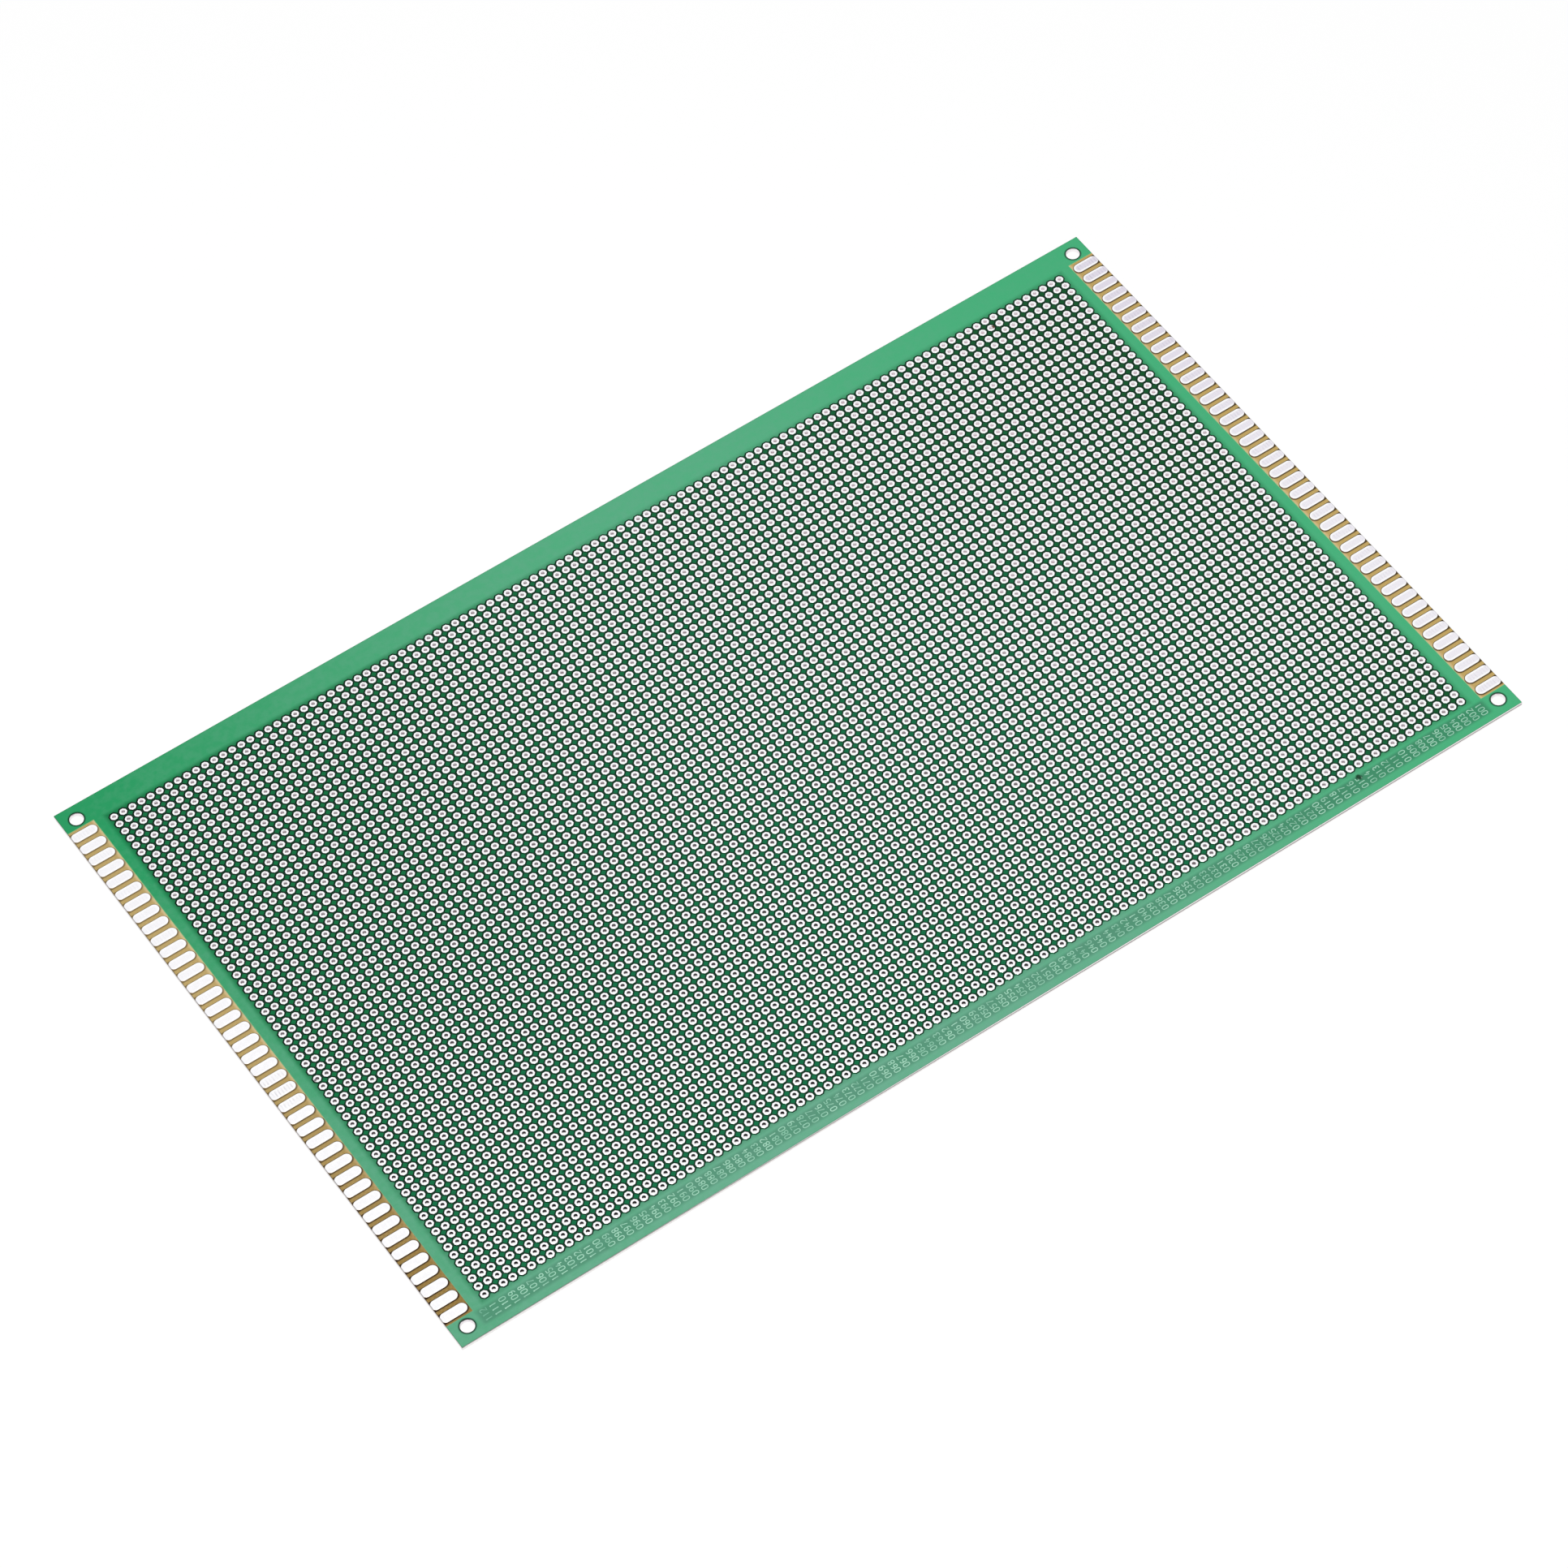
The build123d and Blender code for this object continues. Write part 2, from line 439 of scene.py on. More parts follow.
# Solder mask: a thin glossy green coat, darker between the pads and along their field
maskPlan = {
    "relief": 0.15 * mm,  # from a pad to the mask round it
    "sides": 8,
    "deepLeft": colour(38, 154, 96),  # the margins away from the painted sheen, lighter at the right end as painted light
    "deepRight": colour(62, 182, 122),
    "deepFade": (-endX, 0.3 * endX),
    # painted sheen: the green that the reflection turns the mask to
    "sheenGreen": colour(106, 172, 142),
    "sheenShare": (0.0, endX, 0.95, 0.45),
    "sheenCentre": (-32.7 * mm, -90 * mm),
    "sheenLean": 0.377,
    "sheenTop": 0.78,
    "sheenFall": (-18.0, -2.47),  # by the square of the way across, by the way to the rear
    "fine": (1.8 * mm, -0.09, 0.09),
    "broad": (30 * mm, -0.05, 0.05),
    "fieldLeft": colour(0, 112, 62),  # between the pads
    "fieldRight": colour(0, 84, 38),
    "fieldFade": (-endX, endX),
    "fieldSheenGreen": colour(4, 108, 66),
    "fieldSheen": (0.42, 0.8),
    "fieldEdge": (0.7 * mm, 0.6 * mm),  # inset and fade
    "halo": (0.3 * mm, 1.6 * mm),
    "haloSheen": (0.3, 0.9, 0.85, 0.35),
    "haloX": (-endX, 0.5 * endX, 1.0, 0.5),
    # painted shade on the mask round each pad
    "padShadeRing": colour(0, 64, 36),
    "padShadeRingFade": (0.16 * mm, 0.28 * mm, 1.0, 0.0),
    # painted shade round the mounting holes and along the board's outer edge
    "rimShade": colour(8, 38, 26),
    "mountShadeFade": (0.12 * mm, 0.62 * mm, 0.95, 0.0),
    "outerEdgeShadeFade": (0.04 * mm, 0.16 * mm, 0.4, 0.0),
    "bayRim": colour(196, 214, 152),
    "bayRimFade": (0.05 * mm, 0.2 * mm, 1.0, 0.0),
    "bayRimShare": (-1.5 * endX, -0.4 * endX, 0.1, 0.55),
    "numberShade": colour(44, 89, 73),  # painted shade: the numbers' band is a little darker
    "shadeFade": (1.5 * mm, 2.6 * mm),
    "shadeShare": (0.0, 0.7 * endX, 0.36, 0.5),
    "shadeEnd": (inkHigh.x, inkHigh.x + 1.5 * mm, 1.0, 0.0),
    "smudge": ((105.7 * mm, -84.4 * mm, 1.23 * mm), 1.1 * mm, 0.9 * mm, colour(12, 62, 38)),
    "peel": 0.9 * mm,
    "peelDepth": 0.004 * mm,
}


def paintedSheen(x, y):  # painted sheen: a broad bloom of reflection along the board's front and middle
    centreX, centreY = maskPlan["sheenCentre"]
    across, rearward = maskPlan["sheenFall"]
    aside = plus(x, scaled(minus(y, centreY), -maskPlan["sheenLean"], -centreX))
    bloom = scaled(times(aside, aside), across, maskPlan["sheenTop"])
    return scaled(y, rearward, bloom)


def makeMaskFinish():
    plan = maskPlan
    material, tree, shader = newFinish("solderMask", Roughness=0.4, Specular_IOR_Level=0.12)
    where = onPiece(tree)
    beyond = calcVector("ABSOLUTE", where)
    x, y = split(where)[:2]
    beyondX, beyondY = split(beyond)[:2]
    # the painted sheen, with random clouds of tone
    bloom = plus(paintedSheen(x, y), plus(clouds(tree, *plan["broad"]), clouds(tree, *plan["fine"])))
    green = blend(ramp(x, *plan["deepFade"]), plan["deepLeft"], plan["deepRight"])
    green = blend(times(bloom, ramp(x, *plan["sheenShare"])), green, plan["sheenGreen"])
    field = blend(ramp(x, *plan["fieldFade"]), plan["fieldLeft"], plan["fieldRight"])
    field = blend(ramp(bloom, *plan["fieldSheen"]), field, plan["fieldSheenGreen"])
    halo = times(withinField(tree, *plan["halo"]), ramp(bloom, *plan["haloSheen"]))
    halo = times(halo, ramp(x, *plan["haloX"]))
    green = blend(larger(withinField(tree, *plan["fieldEdge"]), halo), green, field)
    green = blend(ramp(padDistance(tree), *plan["padShadeRingFade"]), green, plan["padShadeRing"])
    fromMount = calcVector("DISTANCE", beyond, (mountX, mountY, maskHigh.z))
    ring = ramp(minus(fromMount, board["mountingHole"] / 2), *plan["mountShadeFade"])
    green = blend(ring, green, plan["rimShade"])
    fromEdge = calc("MINIMUM", minus(endX, beyondX), minus(sideY, beyondY))
    green = blend(ramp(fromEdge, *plan["outerEdgeShadeFade"]), green, plan["rimShade"])
    fromBay = larger(minus(bayX, beyondX), minus(beyondY, bayY))
    fringe = times(ramp(fromBay, *plan["bayRimFade"]), ramp(plus(x, y), *plan["bayRimShare"]))
    green = blend(fringe, green, plan["bayRim"])
    fromNumbers = unsigned(minus(y, (inkLow.y + inkHigh.y) / 2))
    shade = ramp(fromNumbers, *plan["shadeFade"], ramp(x, *plan["shadeShare"]), 0.0)
    green = blend(times(shade, ramp(beyondX, *plan["shadeEnd"])), green, plan["numberShade"])
    feed(spotted(tree, green, *plan["smudge"]), shader["Base Color"])
    feed(bumpFrom(clouds(tree, plan["peel"]), plan["peelDepth"]), shader["Normal"])
    return material


# Tin: bright solder, a little uneven on every pad
tinPlan = {
    "bright": colour(252, 252, 253),
    "dull": colour(249, 248, 251),
    "lilac": colour(222, 217, 229),
    "streak": colour(176, 172, 184),
    # painted shade on the pads below their crest, and on the contacts' cut ends
    "side": colour(12, 14, 13),
    "roughness": (0.14, 0.26),  # what the tone adds, and the least
    "padClouds": 1.1 * mm,
    "padDepth": 0.01 * mm,
    "crest": (padsHigh.z - 0.026 * mm, padsHigh.z - 0.014 * mm),
    "sideLeft": colour(2, 30, 18),  # painted reflection of the green on a pad's shoulder
    "sideRight": colour(0, 60, 34),
    "sideFade": (-endX, 0.2 * endX),
    # the shoulder's dark border of painted reflection, inward from the pad's edge: wider at the left and in
    # the rear
    "border": (0.0, 0.6 * endX, -0.105 * mm, -0.115 * mm),
    "borderSoft": 0.03 * mm,
    "borderLeft": (-0.7 * endX, -0.05 * endX, -0.035 * mm, 0.0),
    "borderLeftY": (-sideY, 0.0),
    "borderRear": (-0.3 * sideY, 0.6 * sideY, 0.0, -0.08 * mm),
    "marks": (
        # place, radius, raggedness, colour
        ((116.3 * mm, 78.65 * mm, 1.27 * mm), 0.75 * mm, 0.5 * mm, colour(98, 66, 54)),
        ((-118.16 * mm, 30.59 * mm, 1.27 * mm), 0.45 * mm, 0.5 * mm, colour(120, 112, 116)),
        ((-139.03 * mm, -10.28 * mm, 1.27 * mm), 0.45 * mm, 0.5 * mm, colour(120, 112, 116)),
    ),
    "contactSide": colour(140, 120, 102),
    "contactClouds": 1.3 * mm,
    "contactDepth": 0.006 * mm,
    "contactCrest": (padsHigh.z - 0.018 * mm, padsHigh.z - 0.008 * mm),
    "well": (-0.8 * mm, -0.25 * mm, 1.0, 0.0),  # a contact's rim stays bright
    "rippleX": (-endX, endX, 0.15, 0.55),
    "rippleY": (-0.2 * sideY, 0.8 * sideY, 1.0, 1.8),
    "rippleFade": (-0.2, 0.9),
    "rippleShare": 0.6,
    "rippleWander": 1.6,  # radians
    "roughFade": (3 * mm, 6 * mm, 0.9, 0.0),
    "edgeShade": 0.6,
}


def makeTinFinish():
    plan = tinPlan
    material, tree, shader = newFinish("padTin", Metallic=1.0)
    x, y, z = split(onPiece(tree))
    tone = clouds(tree, plan["padClouds"])
    tin = blend(tone, plan["bright"], plan["dull"])
    for mark in plan["marks"]:
        tin = spotted(tree, tin, *mark)
    behind = calc("SINE", times(y, tau / board["pitch"]))  # 1 on a pad's rear side
    extra = times(ramp(x, *plan["borderLeft"]), ramp(y, *plan["borderLeftY"]))
    extra = scaled(larger(behind, 0.0), ramp(y, *plan["borderRear"]), extra)
    border = plus(extra, ramp(unsigned(x), *plan["border"]))
    within = ramp(padDistance(tree), minus(border, plan["borderSoft"]), border, 1.0, 0.0)
    # painted reflection of the green on the shoulder's border, painted shade below the crest
    side = blend(ramp(x, *plan["sideFade"]), plan["sideLeft"], plan["sideRight"])
    pad = blend(ramp(z, *plan["crest"]), plan["side"], tin)
    feed(blend(within, side, pad), shader["Base Color"])
    feed(scaled(tone, *plan["roughness"]), shader["Roughness"])
    feed(bumpFrom(tone, plan["padDepth"]), shader["Normal"])
    return material


def makeContactFinish():  # faint ripples across each, plainer at the left end
    plan = tinPlan
    material, tree, shader = newFinish("contactTin", Metallic=1.0)
    x, y, z = split(onPiece(tree))
    tone = clouds(tree, plan["contactClouds"])
    row = calc("ROUND", over(y, contactPlan["pitch"]))
    each = place(tree, "ShaderNodeTexWhiteNoise", {"Vector": combine(row, calc("SIGN", x))},
                 noise_dimensions="3D").outputs["Value"]
    turns = scaled(x, tau / contactPlan["ripple"], times(tone, plan["rippleWander"]))
    right = times(ramp(x, *plan["rippleX"]), ramp(y, *plan["rippleY"]))
    rough = unsigned(minus(y, contactPlan["roughY"]))
    rough = times(ramp(rough, *plan["roughFade"]), ramp(x, -mm, mm, 1.0, 0.0))
    amount = times(larger(times(each, right), rough), tone)
    ripple = times(amount, ramp(calc("SINE", turns), *plan["rippleFade"]))
    well = ramp(contactDistance(tree), *plan["well"])
    base = blend(times(right, well), plan["bright"], plan["lilac"])
    base = blend(times(times(ripple, well), plan["rippleShare"]), base, plan["streak"])
    # painted shade at the contacts' cut ends
    base = blend(times(edgeShade(tree), plan["edgeShade"]), base, plan["side"])
    feed(blend(ramp(z, *plan["contactCrest"]), plan["contactSide"], base), shader["Base Color"])
    feed(scaled(tone, *plan["roughness"]), shader["Roughness"])
    feed(bumpFrom(plus(tone, ripple), plan["contactDepth"]), shader["Normal"])
    return material


# Column numbers: pale green ink, worn thin in places
numberPlan = {
    "pastPads": 1,  # one more number past each end of the pads
    "height": 1.62 * mm,  # between the middles of the strokes
    "width": 0.84 * mm,
    "stroke": 0.23 * mm,
    "layer": 0.002 * mm,  # each stroke lies this much under the one before
    "advance": 1.25 * mm,
    "ink": colour(168, 220, 194),
    "worn": colour(112, 178, 148),
    "wear": (3.5 * mm, 0.0, 0.7),
    "lastNumber": (-140.2 * mm, -139.4 * mm, 1.6, 0.0),  # the one past the left end is the most worn
}


def makeInkFinish():
    material, tree, shader = newFinish("numberInk", Roughness=0.55, Specular_IOR_Level=0.3)
    x = split(onPiece(tree))["X"]
    worn = larger(clouds(tree, *numberPlan["wear"]), ramp(x, *numberPlan["lastNumber"]))
    ink = blend(worn, numberPlan["ink"], numberPlan["worn"])
    feed(spotted(tree, ink, *maskPlan["smudge"]), shader["Base Color"])
    return material


laminateFinish, edgeFinish, boreFinish = makeLaminateFinish(), makeEdgeFinish(), makeBoreFinish()
maskFinish, tinFinish = makeMaskFinish(), makeTinFinish()
contactFinish, inkFinish = makeContactFinish(), makeInkFinish()
print("finishes built")


# Pieces grown by node trees

def addObject(name, mesh):
    piece = bpy.data.objects.new(name, mesh)
    scene.collection.objects.link(piece)
    return piece


def loopsObject(name, loops):  # closed loops of (x, y), as the edges of a mesh
    points, edges = [], []
    for loop in loops:
        first = len(points)
        points += [(x, y, 0.0) for x, y in loop]
        edges += [(first + k, first + (k + 1) % len(loop)) for k in range(len(loop))]
    mesh = bpy.data.meshes.new(name)
    mesh.from_pydata(points, edges, [])
    return addObject(name, mesh)


def growPiece(name, base, tree, values):  # runs the tree on base and keeps the result as a plain mesh
    modifier = base.modifiers.new("grow", "NODES")
    modifier.node_group = tree
    labels = {item.name: item.identifier for item in tree.interface.items_tree
              if item.item_type == "SOCKET" and item.in_out == "INPUT"}
    for label, value in values.items():
        modifier[labels[label]] = value
    mesh = bpy.data.meshes.new_from_object(base.evaluated_get(bpy.context.evaluated_depsgraph_get()))
    base.modifiers.clear()
    bpy.data.objects.remove(base)
    mesh.name = name
    mesh.calc_loop_triangles()
    print(name, len(mesh.loop_triangles), "triangles")
    return addObject(name, mesh)


def settle(piece, slot, *nodes):
    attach(piece, "root")
    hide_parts(*nodes)


def shape(kind, values, **settings):
    return place(treeOf(values.values()), "GeometryNode" + kind, values, **settings).outputs[0]


def finish(tree, geometry, inside, out):  # flat faces, of the tree's own material
    flat = shape("SetShadeSmooth", {"Geometry": geometry, "Shade Smooth": False})
    feed(shape("SetMaterial", {"Geometry": flat, "Material": inside["Finish"]}), out[0])
    return tree


def spanOf(pitch, count):
    return times(pitch, minus(count, 1.0))


def padCentres(inside):  # a point at each pad of some lines
    pitch, columns, lines = inside["Pitch"], inside["Columns"], inside["Lines"]
    grid = shape("MeshGrid", {"Size X": spanOf(pitch, columns), "Size Y": spanOf(pitch, lines),
                              "Vertices X": columns, "Vertices Y": lines})
    middle = combine(0.0, inside["Centre Y"], inside["Height"])
    return shape("Transform", {"Geometry": grid, "Translation": middle})


def evenPolygon(width, sides):  # a closed curve with flats at front, back, left and right
    halfTurn = over(pi, sides)
    radius = over(times(width, 0.5), calc("COSINE", halfTurn))
    ring = shape("CurvePrimitiveCircle", {"Resolution": sides, "Radius": radius})
    return shape("Transform", {"Geometry": ring, "Rotation": combine(z=halfTurn)}), radius


def makeDrilledSheetTree():  # fills an outline round a window at each pad, band by band, and thickens it
    tree, inside, out = startTree(
        "drilledSheet", "Geometry", {"Geometry": "Sheet"}, Geometry="Outline", Int="Columns, Lines, Sides",
        Material="Face, Bore, Rim", Float="Pitch, Centre Y, Height, Window, Band, Weld, Thickness, "
                                          "Field Half Y, Inner Half X, Inner Half Y")
    window = evenPolygon(inside["Window"], inside["Sides"])[0]
    windows = shape("InstanceOnPoints", {"Points": padCentres(inside), "Instance": window})
    loops = place(tree, "GeometryNodeJoinGeometry")
    feed(shape("MeshToCurve", {0: inside["Outline"]}), loops.inputs[0])
    feed(shape("RealizeInstances", {0: windows}), loops.inputs[0])
    position = place(tree, "GeometryNodeInputPosition").outputs[0]
    loopY = shape("FieldOnDomain", {0: split(position)["Y"]}, domain="CURVE", data_type="FLOAT")
    band = calc("FLOOR", over(plus(loopY, inside["Field Half Y"]), inside["Band"]))
    filled = shape("FillCurve", {"Curve": loops.outputs[0], "Group ID": band})
    welded = shape("MergeByDistance", {"Geometry": filled, "Distance": inside["Weld"]})
    sheet = shape("Transform", {"Geometry": welded, "Translation": combine(z=inside["Height"])})
    raised = shape("ExtrudeMesh", {"Mesh": sheet, "Offset Scale": inside["Thickness"],
                                   "Individual": False}, mode="FACES")
    both = place(tree, "GeometryNodeJoinGeometry")
    feed(raised, both.inputs[0])
    feed(shape("FlipFaces", {0: sheet}), both.inputs[0])
    closed = shape("MergeByDistance", {"Geometry": both.outputs[0], "Distance": inside["Weld"]})
    normalZ = split(place(tree, "GeometryNodeInputNormal").outputs[0])["Z"]
    upright = calc("LESS_THAN", unsigned(normalZ), 0.5)
    x, y = split(calcVector("ABSOLUTE", position))[:2]
    inner = times(calc("LESS_THAN", x, inside["Inner Half X"]),
                  calc("LESS_THAN", y, inside["Inner Half Y"]))
    for chosen, finish in ((True, "Face"), (upright, "Rim"), (times(upright, inner), "Bore")):
        closed = shape("SetMaterial", {"Geometry": closed, "Selection": chosen, "Material": inside[finish]})
    feed(closed, out[0])
    return tree


def makePadsTree():  # a drilled, many-sided pad with a sloping shoulder at each point of the grid
    tree, inside, out = startTree(
        "tinnedPads", "Geometry", {"Geometry": "Pads"}, Geometry="Base", Int="Columns, Lines, Sides",
        Float="Pitch, Centre Y, Height, Width, Hole, Rise, Dip, Shoulder", Material="Finish")
    path, holeRadius = evenPolygon(inside["Hole"], inside["Sides"])
    padRadius = evenPolygon(inside["Width"], inside["Sides"])[1]
    foot = minus(padRadius, holeRadius)
    section = shape("CurvePrimitiveQuadrilateral", {
        "Point 1": (0.0, 0.0, 0.0), "Point 2": combine(foot),
        "Point 3": combine(minus(foot, inside["Shoulder"]), times(inside["Rise"], -1.0)),
        "Point 4": combine(0.0, minus(inside["Dip"], inside["Rise"]))}, mode="POINTS")
    pad = shape("CurveToMesh", {"Curve": path, "Profile Curve": section})
    pads = shape("InstanceOnPoints", {"Points": padCentres(inside), "Instance": pad})
    outward = shape("FlipFaces", {0: shape("RealizeInstances", {0: pads})})
    return finish(tree, outward, inside, out)


def makeRowTree():  # copies of one piece along Y
    tree, inside, out = startTree("row", "Geometry", {"Geometry": "Row"}, Geometry="Piece", Int="Count",
                                  Float="Pitch", Material="Finish")
    start = times(spanOf(inside["Pitch"], inside["Count"]), -0.5)
    line = shape("MeshLine", {"Count": inside["Count"], "Start Location": combine(y=start),
                                    "Offset": combine(y=inside["Pitch"])})
    row = shape("InstanceOnPoints", {"Points": line, "Instance": inside["Piece"]})
    real = shape("RealizeInstances", {0: row})
    feed(shape("SetMaterial", {"Geometry": real, "Material": inside["Finish"]}), out[0])
    return tree


def makeNumbersTree():  # the digits of each column's number, picked by its place in the row
    tree, inside, out = startTree(
        "columnNumbers", "Geometry", {"Geometry": "Numbers"}, Geometry="Base", Collection="Glyphs",
        Int="Count", Float="Pitch, First X, Centre Y, Advance, Height, Stroke, Ink", Material="Finish")
    spanX = spanOf(inside["Pitch"], inside["Count"])
    grid = shape("MeshGrid", {"Size X": spanX, "Size Y": times(inside["Advance"], 2.0),
                                    "Vertices X": inside["Count"], "Vertices Y": 3})
    middleX = minus(inside["First X"], times(spanX, 0.5))
    points = shape("Transform", {
        "Geometry": grid, "Translation": combine(middleX, inside["Centre Y"], inside["Height"])})
    x, y = split(place(tree, "GeometryNodeInputPosition").outputs[0])[:2]
    fromRight = calc("ROUND", over(minus(inside["First X"], x), inside["Pitch"]))
    power = calc("ROUND", over(minus(y, inside["Centre Y"]), inside["Advance"]))
    power = minus(1.0, power)  # 2 for hundreds, 0 for units
    whole = calc("FLOOR", over(plus(fromRight, 1.5), calc("POWER", 10.0, power)))
    glyphs = shape("CollectionInfo", {
        "Collection": inside["Glyphs"], "Separate Children": True, "Reset Children": True})
    written = shape("InstanceOnPoints", {
        "Points": points, "Instance": glyphs, "Pick Instance": True,
        "Instance Index": calc("MODULO", whole, 10.0), "Rotation": (0.0, 0.0, pi / 2)})
    strokes = shape("MeshToCurve", {0: shape("RealizeInstances", {0: written})})
    level = shape("SetCurveNormal", {0: strokes}, mode="Z_UP")
    nib = shape("CurvePrimitiveQuadrilateral", {"Width": inside["Stroke"], "Height": inside["Ink"]})
    lines = shape("CurveToMesh", {"Curve": level, "Profile Curve": nib, "Fill Caps": True})
    return finish(tree, lines, inside, out)


# Front and rear half of the laminate and of the mask, welded out of bands with a point at each column
drilledSheet = makeDrilledSheetTree()
frontLines = board["frontBands"] * board["bandLines"]
halves = (("front", -1, 0, frontLines), ("rear", 1, frontLines, board["lines"]))


def lineY(line):  # the middle of a line of pads, the front one being 0
    return line * board["pitch"] - gridHalfY


def crossing(y, halfX):  # a band's border: a point at each column's side and one at each end
    sides = [(k * board["pitch"] - fieldHalfX, y) for k in range(board["columns"] + 1)]
    return [(-halfX, y), *sides, (halfX, y)]


def sheetLoops(side, fromLine, toLine, marginEnd):
    # marginEnd is the run of points from the corner of the margin in to the bands' own end, at the right
    borders = range(fromLine, toLine + 1, board["bandLines"])
    rows = [crossing(lineY(line) - board["pitch"] / 2, marginEnd[-1][0]) for line in borders]
    bands = [low + high[::-1] for low, high in zip(rows, rows[1:])]
    edgeRow = rows[0] if side < 0 else rows[-1]
    right = [(x, side * y) for x, y in marginEnd]
    margin = edgeRow + right[::-1] + [(-x, y) for x, y in right]
    radius = board["mountingHole"] / 2
    turns = [tau * k / board["holeSegments"] for k in range(board["holeSegments"])]
    holes = [[(x + radius * cos(t), side * mountY + radius * sin(t)) for t in turns]
             for x in (-mountX, mountX)]
    return [margin, *bands, *holes]


def spread(fromLine, toLine):  # the grid's values for some of its lines
    return {"Columns": board["columns"], "Lines": toLine - fromLine, "Pitch": board["pitch"],
            "Centre Y": (lineY(fromLine) + lineY(toLine - 1)) / 2}


def buildSheet(name, half, marginEnd, low, high, window, sides, face, bore, rim):
    label, side, fromLine, toLine = half
    base = loopsObject("outline", sheetLoops(side, fromLine, toLine, marginEnd))
    return growPiece(name + "_" + label, base, drilledSheet, {
        **spread(fromLine, toLine), "Height": low, "Thickness": high - low, "Window": window,
        "Sides": sides, "Face": face, "Bore": bore, "Rim": rim, "Band": bandWidth, "Weld": board["weld"],
        "Field Half Y": fieldHalfY, "Inner Half X": endX - mm, "Inner Half Y": sideY - mm})


def readMesh(items, field, width=1, kind=float):  # one value of every vertex, face or corner
    values = np.empty(width * len(items), kind)
    items.foreach_get(field, values)
    return values.reshape(-1, width).T if width > 1 else values


def cornerPlaces(mesh):  # x, y and z of every face's corners, one after another
    return readMesh(mesh.vertices, "co", 3)[:, readMesh(mesh.loops, "vertex_index", kind=int)]


def keepMap(mesh, across, up):
    layer = mesh.uv_layers.new(name="OFBake")
    layer.uv.foreach_set("vector", np.stack([across, up], 1).astype(np.float32).ravel())


def nearestPad(x, y):  # the column and line of the closest pad, and where it is
    column = np.clip(np.round((x + gridHalfX) / board["pitch"]), 0, board["columns"] - 1)
    line = np.clip(np.round((y + gridHalfY) / board["pitch"]), 0, board["lines"] - 1)
    return column, line, column * board["pitch"] - gridHalfX, line * board["pitch"] - gridHalfY


def mapLaminate(mesh, fromLine):  # top, underside, cut edges and drilled walls apart on the bake map
    plan = laminatePlan["bakeMap"]
    x, y, z = cornerPlaces(mesh)
    sizes = readMesh(mesh.polygons, "loop_total", kind=int)
    faceX, faceY = np.repeat(readMesh(mesh.polygons, "center", 3)[:2], sizes, 1)
    normalX, normalZ = np.repeat(readMesh(mesh.polygons, "normal", 3)[::2], sizes, 1)
    scale = plan["span"] / (2 * endX)
    along = plan["margin"] + (x + endX) * scale
    inward = (y - y.min()) * scale
    level = (z - boardLow.z) / (topZ - boardLow.z)

    column, line, padX, padY = nearestPad(faceX, faceY)
    mounting = np.hypot(abs(faceX) - mountX, abs(faceY) - mountY) < board["mountingHole"]
    drilled = ~mounting & (np.hypot(faceX - padX, faceY - padY) < laminatePlan["holeWidth"])
    aroundX = np.where(mounting, np.sign(faceX) * mountX, padX)
    aroundY = np.where(mounting, np.sign(faceY) * mountY, padY)
    faceTurn = np.arctan2(faceY - aroundY, faceX - aroundX)
    turn = np.arctan2(y - aroundY, x - aroundX) - faceTurn
    turn = (faceTurn + (turn + pi) % tau - pi) / tau + 0.5

    atRight = faceX > 0
    start, share = plan["acrossCell"]
    turned = start + share * turn
    boreU = plan["margin"] + (column + turned) * plan["span"] / board["columns"]
    mountU = plan["mounts"] + (turned + atRight) * plan["mountWidth"]
    endU = inward + np.where(atRight, plan["ends"], plan["margin"])
    start, share = plan["upCell"]
    boreV = plan["bores"] + (line - fromLine + start + share * level) * plan["boreHeight"] / frontLines
    wallV = level * plan["wallHeight"]
    longV = wallV + np.where(abs(faceY) > sideY - 0.1 * mm, plan["longWall"], plan["hiddenWall"])
    flatV = inward + np.where(normalZ > 0, plan["top"], plan["under"])
    endV = wallV + plan["endWalls"]
    kinds = [abs(normalZ) > 0.5, mounting, drilled, abs(normalX) > 0.5]
    keepMap(mesh, np.select(kinds, [along, mountU, boreU, endU], along),
            np.select(kinds, [flatV, endV, boreV, endV], longV))


corner = (endX, sideY)
for half in halves:
    laminate = buildSheet("laminate", half, [corner], boardLow.z, topZ, laminatePlan["holeWidth"],
                          laminatePlan["holeSides"], laminateFinish, boreFinish, edgeFinish)
    mapLaminate(laminate.data, half[2])
    settle(laminate, "bare_laminate", "laminate")
    mask = buildSheet("solder_mask", half, [corner, (endX, bayY), (bayX, bayY)], maskLow.z, maskHigh.z,
                      padWidth + 2 * maskPlan["relief"], maskPlan["sides"], *[maskFinish] * 3)
    settle(mask, "green_mask", "solder_mask", "mask_webs")
print("laminate and mask built")

# Pads, in three groups of lines
padPlan = {
    "groups": 3,
    "hole": 0.95 * mm,
    "sides": 8,
    "dip": 0.012 * mm,  # from the pad's crest down to the rim of its hole
    "shoulder": 0.16 * mm,
    "bakeColumns": 50,  # pads side by side on their bake map
    # from the middle of a pad's cell on that map, in half cells
    "bakeRings": {"under": 0.03, "foot": 0.18, "rim": 0.42, "crest": 0.78, "skirt": 1.04},
}


